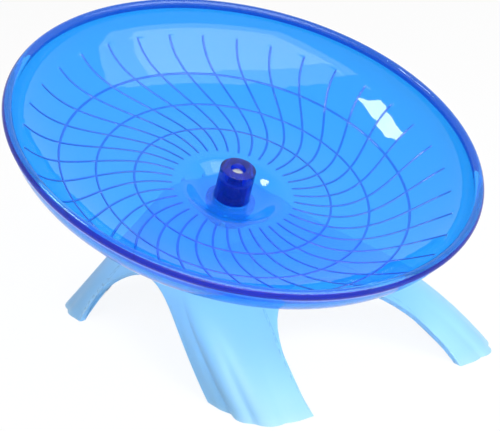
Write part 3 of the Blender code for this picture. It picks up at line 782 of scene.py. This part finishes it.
SKIRT_PARTS = (
    ("front", FOOT_HALF_WIDTH - FOOT_CORNER), ("front_corner", FOOT_CORNER * QUARTER),
    ("side", FOOT_FRONT + FOOT_REAR - 2 * FOOT_CORNER), ("rear_corner", FOOT_CORNER * QUARTER),
    ("rear", FOOT_HALF_WIDTH - FOOT_CORNER))
SKIRT_LENGTH = sum(length for _, length in SKIRT_PARTS)


def skirt_point(share, place, groove=0.0):
    """A point of the skirt's outer face, where X is positive.

    share runs from 0 on the floor to 1 at the head, and place is the distance round the floor
    outline from the middle of the front. groove is 1 between two toes and 0 on a toe's crest.
    """
    front = Vector(curve_point((-FOOT_FRONT, 0.0), (-FRONT_SHOULDER[0], FRONT_SHOULDER[1]),
                               head_edge(-1), share))
    rear = Vector(curve_point((FOOT_REAR, 0.0), (REAR_SHOULDER[0], REAR_SHOULDER[1]),
                              head_edge(1), share))
    half_width = curve_point((FOOT_HALF_WIDTH,), (SIDE_SHOULDER,), (HEAD_HALF_WIDTH,), share)[0]
    corner = FOOT_CORNER + (HEAD_CORNER - FOOT_CORNER) * max(share, 0.0)
    half_length = (rear - front).length / 2
    flat = half_width - corner
    for part, length in SKIRT_PARTS:
        if place <= length or part == "rear":
            break
        place -= length
    along = min(place / length, 1.0)
    angle = along * QUARTER
    if part == "front":
        spot, normal = Vector((flat * along, -half_length)), Vector((0.0, -1.0))
    elif part == "front_corner":
        normal = Vector((math.sin(angle), -math.cos(angle)))
        spot = Vector((flat, corner - half_length)) + corner * normal
    elif part == "side":
        spot = Vector((half_width, (half_length - corner) * (2 * along - 1)))
        normal = Vector((1.0, 0.0))
    elif part == "rear_corner":
        normal = Vector((math.cos(angle), math.sin(angle)))
        spot = Vector((flat, half_length - corner)) + corner * normal
    else:
        spot, normal = Vector((flat * (1 - along), half_length)), Vector((0.0, 1.0))
    fade = max(1 - max(share, 0.0) / TOE_FADE, 0.0)
    spot -= normal * TOE_RELIEF * fade * groove
    across = (front + rear) / 2 + (rear - front).normalized() * spot.y
    return Vector((spot.x, across.x, across.y))


def arch_half(arch, steps, offset):
    """Half an arch's outline from its crown down to below the floor, as (across, up) points.

    offset moves it out of the opening, square to the curve.
    """
    foot, crown, handles = arch
    run, height = crown[0] - foot, crown[1]
    corners = [Vector(crown)]
    corners += [Vector((foot + run * along, height * up)) for along, up in reversed(handles)]
    corners += [Vector((foot, 0.0))]
    line = []
    for i in range(steps + 1):
        t = i / steps
        line.append(sum((corner * weight for corner, weight in zip(
            corners, ((1 - t) ** 3, 3 * t * (1 - t) ** 2, 3 * t ** 2 * (1 - t), t ** 3))),
            Vector((0.0, 0.0))))
    ends = (corners[3] - corners[2]).normalized()
    line.append(corners[3] + ends * BELOW_FLOOR)
    moved = []
    for before, point, after in zip(line[:1] + line, line, line[1:] + line[-1:]):
        along = (after - before).normalized()
        square = Vector((-along.y, along.x))
        if point is line[0]:
            square = Vector((0.0, 1.0))
        elif square.x * (foot - crown[0]) < 0:
            square = -square
        moved.append(point + square * offset)
    return moved


def on_skirt(spot, axis, low, high):
    """Where the skirt's face is at an arch outline's point, as (place, share)."""
    across, up = spot
    rising = skirt_point(0.0, high)[axis] > skirt_point(0.0, low)[axis]

    def place_at(share):
        start, end = low, high
        for _ in range(SEARCH_STEPS):
            middle = (start + end) / 2
            if (skirt_point(share, middle)[axis] < across) == rising:
                start = middle
            else:
                end = middle
        return start

    bottom, top = LOWEST_SHARE, 1.0
    for _ in range(SEARCH_STEPS):
        share = (bottom + top) / 2
        if skirt_point(share, place_at(share)).z < up:
            bottom = share
        else:
            top = share
    return place_at(bottom), bottom


def skirt_columns():
    """Half the skirt's columns, from the front middle to the rear middle.

    Each is (groove, (place, share) on the edge, (place, share) one strip in from the edge).
    """
    front_end = SKIRT_PARTS[0][1] + SKIRT_PARTS[1][1]
    side_start = SKIRT_PARTS[0][1]
    side_end = SKIRT_LENGTH - SKIRT_PARTS[4][1]
    rear_start = side_end - SKIRT_PARTS[3][1]
    columns = []
    marks = []

    def add_arch(arch, steps, axis, low, high, backward=False):
        lines = [arch_half(arch, steps, offset) for offset in (0.0, STRIP)]
        pairs = [tuple(on_skirt(spot, axis, low, high) for spot in spots) for spots in zip(*lines)]
        columns.extend((0.0, *pair) for pair in (pairs[::-1] if backward else pairs))

    def add_foot(toes):
        marks.append((len(columns), toes))

    add_arch(FRONT_ARCH, SMALL_ARCH_STEPS, 0, 0.0, front_end)
    add_foot(FRONT_TOES)
    add_arch(SIDE_ARCH_FRONT, LARGE_ARCH_STEPS, 1, side_start, side_end, backward=True)
    columns.pop()
    add_arch(SIDE_ARCH_REAR, SMALL_ARCH_STEPS, 1, side_start, side_end)
    add_foot(REAR_TOES)
    add_arch(REAR_ARCH, SMALL_ARCH_STEPS, 0, rear_start, SKIRT_LENGTH, backward=True)

    for index, toes in reversed(marks):
        (first, _), (start, _) = columns[index - 1][1:]
        (last, _), (end, _) = columns[index][1:]
        steps = toes * COLUMNS_PER_TOE
        foot = []
        for i in range(1, steps):
            place = start + (end - start) * i / steps
            phase = toes * (place - first) / (last - first)
            between = 0.5 < phase < toes - 0.5
            groove = 1 - abs(math.sin(math.pi * phase)) if between else 0.0
            foot.append((groove, (place, FOOT_EDGE_SHARE), (place, FOOT_STRIP_SHARE)))
        columns[index:index] = foot
    return columns


def skirt_inside(share, place, groove):
    """A point of the skirt's inner face, one wall's thickness in from the outer one."""
    upward = skirt_point(share + SLOPE_STEP, place) - skirt_point(share - SLOPE_STEP, place)
    start = max(place - SLOPE_STEP * MM, 0.0)
    end = min(place + SLOPE_STEP * MM, SKIRT_LENGTH)
    onward = skirt_point(share, end) - skirt_point(share, start)
    return skirt_point(share, place, groove) - onward.cross(upward).normalized() * STAND_WALL


def inner_top(place, groove):
    """The share at which the inner face of the skirt meets the head's underside."""
    back = AXLE.inverted()
    low, high = LOWEST_INNER_TOP, 1.0
    for _ in range(TOP_SEARCH_STEPS):
        share = (low + high) / 2
        if (back @ skirt_inside(share, place, groove)).z < HEAD_TOP - STAND_WALL:
            low = share
        else:
            high = share
    return low


def make_stand():
    """The one-piece stand: a walled skirt, lofted from its edge to the head and back inside."""
    columns = skirt_columns()
    outside = [[skirt_point(share, place, groove) for groove, (place, share), _ in columns]]
    inside = [[skirt_inside(share, place, groove) for groove, (place, share), _ in columns]]
    tops = [inner_top(place, groove) for groove, _, (place, _) in columns]
    for row in range(SKIRT_STEPS + 1):
        outside.append([skirt_point(share + (1 - share) * row / SKIRT_STEPS, place, groove)
                        for groove, _, (place, share) in columns])
        inside.append([skirt_inside(share + (top - share) * row / SKIRT_STEPS, place, groove)
                       for (groove, _, (place, share)), top in zip(columns, tops)])

    def rings(edge_row, height, radii):
        """Rows on a flat of the head: just inside its edge, then at each radius."""
        middle = AXLE @ Vector((0.0, 0.0, height))
        flat = [middle + (point - middle) * (1 - HEAD_INSET / (point - middle).length)
                for point in edge_row]
        return [flat] + [[middle + (point - middle).normalized() * radius for point in flat]
                         for radius in radii]

    head = rings(outside[-1], HEAD_TOP, (*HEAD_RING_RADII, BOSS_RING_RADIUS, BORE_RADIUS))
    ceiling = rings(inside[-1], HEAD_TOP - STAND_WALL, (*HEAD_RING_RADII, BOSS_RADIUS))
    boss = rings(inside[-1], HEAD_TOP - BOSS_HEIGHT,
                 (BORE_RADIUS, BOSS_RING_RADIUS, BOSS_RADIUS - BOSS_DRAFT))[1:]
    rows = outside + head + boss + ceiling[::-1] + inside[::-1]

    form = bmesh.new()
    column_of = form.verts.layers.int.new("column")
    rows = [row + [Vector((-point.x, point.y, point.z)) for point in row[-2:0:-1]] for row in rows]
    first = [form.verts.new(point) for point in rows[0]]
    for column, vert in enumerate(first):
        vert[column_of] = column
    edges = [form.edges.new(pair) for pair in zip(first, first[1:] + first[:1])]
    for row in rows[1:] + rows[:1]:
        grown = bmesh.ops.extrude_edge_only(form, edges=edges)["geom"]
        edges = [item for item in grown if isinstance(item, bmesh.types.BMEdge)]
        last = [item for item in grown if isinstance(item, bmesh.types.BMVert)]
        for vert in last:
            vert.co = row[vert[column_of]]
    bmesh.ops.remove_doubles(form, verts=first + last, dist=0.0001 * MM)
    bmesh.ops.recalc_face_normals(form, faces=form.faces)

    back = AXLE.inverted()
    for at_head, offset, segments in ((True, HEAD_EDGE, HEAD_EDGE_STEPS),
                                      (False, SKIRT_EDGE, SKIRT_EDGE_STEPS)):
        edges = []
        for edge in form.edges:
            spot = back @ ((edge.verts[0].co + edge.verts[1].co) / 2)
            on_head = (abs(spot.z - HEAD_TOP) < LEVEL_TOLERANCE
                       and math.hypot(spot.x, spot.y) > HEAD_EDGE_REACH)
            if on_head == at_head and edge.calc_face_angle() > BEVELLED_ANGLE:
                edges.append(edge)
        bmesh.ops.bevel(form, geom=edges, offset=offset, offset_type="OFFSET", segments=segments,
                        profile=0.5, affect="EDGES", clamp_overlap=False, material=-1)
    cut = bmesh.ops.bisect_plane(
        form, geom=form.verts[:] + form.edges[:] + form.faces[:], dist=0.05 * MM,
        plane_co=(0.0, 0.0, 0.0), plane_no=(0.0, 0.0, 1.0), clear_inner=True)["geom_cut"]
    bmesh.ops.holes_fill(
        form, edges=[item for item in cut if isinstance(item, bmesh.types.BMEdge)], sides=0)
    for vert in form.verts:
        vert.co.z = max(vert.co.z, 0.0)
    bmesh.ops.recalc_face_normals(form, faces=form.faces)
    finish_piece(form, "frosted_stand", polypropylene, "stand_body",
                 ["stand"], place=Matrix.Identity(4), sharp=40)


# Stage, light and camera

SOFTBOX_AIM = Vector((0.0, 0.0, 60.0 * MM))
WORLD_COLOUR, WORLD_STRENGTH = "F4F7FF", 0.15
PAPER_COLOUR, PAPER_WHITE_SHARE = "F6F6F6", 0.9
PAPER_HALF_WIDTH = 3.0
CAMERA_YAW, CAMERA_DOWN = math.radians(-36.1), math.radians(20.87)
CAMERA_LENS, CAMERA_SENSOR = 137.33, 36.0  # in mm
# The camera's place from the rim's centre: to the right, down and back
CAMERA_RIGHT, CAMERA_BELOW, CAMERA_BACK = 1.1617 * MM, 29.109 * MM, 700 * MM


def white_studio(material_tree, surface, share):
    """Mix a surface towards white where it is seen: straight, mirrored or through plastic."""
    path = add_node(material_tree, "ShaderNodeLightPath")
    either = add_node(material_tree, "ShaderNodeMath", {"operation": "MAXIMUM"},
                      {0: path.outputs["Is Camera Ray"], 1: path.outputs["Is Transmission Ray"]})
    seen = add_node(material_tree, "ShaderNodeMath", {"operation": "MAXIMUM"},
                    {0: either.outputs[0], 1: path.outputs["Is Glossy Ray"]})
    factor = add_node(material_tree, "ShaderNodeMath", {"operation": "MULTIPLY", 1: share},
                      {0: seen.outputs[0]})
    kind = "ShaderNodeEmission"
    if surface.bl_idname == "ShaderNodeBackground":
        kind = "ShaderNodeBackground"
    white = add_node(material_tree, kind, {"Color": linear("FFFFFF"), "Strength": 1.0})
    return add_node(material_tree, "ShaderNodeMixShader", None,
                    {0: factor.outputs[0], 1: surface.outputs[0], 2: white.outputs[0]})


def make_stage():
    """The white surroundings and the paper floor."""
    world = bpy.data.worlds.new("white studio")
    bpy.context.scene.world = world
    world.use_nodes = True
    tree = world.node_tree
    tree.nodes.clear()
    sky = add_node(tree, "ShaderNodeBackground",
                   {"Color": linear(WORLD_COLOUR), "Strength": WORLD_STRENGTH})
    mix = white_studio(tree, sky, 1.0)
    add_node(tree, "ShaderNodeOutputWorld", None, {"Surface": mix.outputs[0]})

    material, tree = new_material("white paper sweep")
    paper = add_node(tree, "ShaderNodeBsdfDiffuse", {"Color": linear(PAPER_COLOUR)})
    mix = white_studio(tree, paper, PAPER_WHITE_SHARE)
    add_node(tree, "ShaderNodeOutputMaterial", None, {"Surface": mix.outputs[0]})
    form = bmesh.new()
    bmesh.ops.create_grid(form, x_segments=1, y_segments=1, size=PAPER_HALF_WIDTH)
    mesh = bpy.data.meshes.new("paper_floor")
    form.to_mesh(mesh)
    form.free()
    mesh.materials.append(material)
    paper_floor = bpy.data.objects.new("paper_floor", mesh)
    bpy.context.scene.collection.objects.link(paper_floor)


def add_softbox(name, place, width, height, power, shines=True):
    """A soft lamp aimed at the dish. It either shines on the part or only shows in its polish."""
    lamp = bpy.data.lights.new(name, "AREA")
    lamp.shape = "RECTANGLE"
    lamp.size, lamp.size_y = width, height
    lamp.energy = power
    softbox = bpy.data.objects.new(name, lamp)
    softbox.location = place
    softbox.rotation_euler = (SOFTBOX_AIM - Vector(place)).to_track_quat("-Z", "Y").to_euler()
    softbox.visible_diffuse = shines
    softbox.visible_glossy = not shines
    softbox.visible_camera = False
    softbox.visible_transmission = False
    bpy.context.scene.collection.objects.link(softbox)


def add_camera():
    """The photograph's view: a long lens, low and to the left of the part."""
    level = math.cos(CAMERA_DOWN)
    right = Vector((math.cos(CAMERA_YAW), math.sin(CAMERA_YAW), 0.0))
    forward = Vector((-math.sin(CAMERA_YAW) * level, math.cos(CAMERA_YAW) * level,
                      -math.sin(CAMERA_DOWN)))
    up = right.cross(forward)
    lens = bpy.data.cameras.new("camera")
    lens.sensor_width = CAMERA_SENSOR
    lens.lens = CAMERA_LENS
    lens.clip_start = 0.01
    camera = bpy.data.objects.new("camera", lens)
    turn = Matrix((right, up, -forward)).transposed().to_4x4()
    place = RIM_CENTRE + CAMERA_RIGHT * right - CAMERA_BELOW * up - CAMERA_BACK * forward
    camera.matrix_world = Matrix.Translation(place) @ turn
    bpy.context.scene.collection.objects.link(camera)
    bpy.context.scene.camera = camera


# The pieces and their surroundings

polystyrene = clear_polystyrene("dyed clear polystyrene", tint="2CA4F8", clarity=0.82)
# Painted shade: the rim's copy is the dish's plastic made darker and less clear, standing in for
# the deep navy that the thick bead shows
rim_polystyrene_painted_shade = clear_polystyrene("dyed clear polystyrene, rim with painted shade", tint="1020A8",
                                    clarity=0.55)
# Painted shade: the ribs' copy is the dish's plastic made darker and less clear, standing in for
# the dark lines that refraction draws along the ribs and rings
rib_polystyrene_painted_shade = clear_polystyrene("dyed clear polystyrene, ribs with painted shade", tint="0C5CE0", clarity=0.75)
deep_polystyrene = clear_polystyrene("dyed clear polystyrene, solid hub", tint="1E40D0",
                                     clarity=0.8, film_tint="5070E0", film_share=0.3)
polypropylene = frosted_polypropylene()
zinc_steel = steel("zinc-plated steel", colour="C9CDD0", roughness=0.28, grain_size=0.5 * MM,
                   grain_strength=0.15)
bearing_steel = steel("ground bearing steel", colour="D9DBDC", roughness=0.16,
                      grain_size=0.3 * MM, grain_strength=0.05)
nylon = moulded_nylon()

make_dish()
make_hub()
make_bearing()
make_axle()
make_stand()
make_stage()
add_softbox("key softbox", place=(-0.9, -0.7, 1.1), width=0.9, height=0.9, power=9.0)
add_softbox("overhead softbox", place=(0.3, -0.62, 1.08), width=0.9, height=0.9, power=16.5)
add_softbox("window", place=(-0.27, 0.21, 1.21), width=0.38, height=0.16, power=4.5, shines=False)
add_softbox("front scrim", place=(0.0, -0.9, 1.1), width=2.6, height=1.6, power=34.0,
            shines=False)
add_softbox("front scrim, middle", place=(0.0, -0.9, 1.15), width=1.7, height=1.0, power=16.0,
            shines=False)
add_camera()

scene = bpy.context.scene
scene.view_settings.view_transform = "Standard"
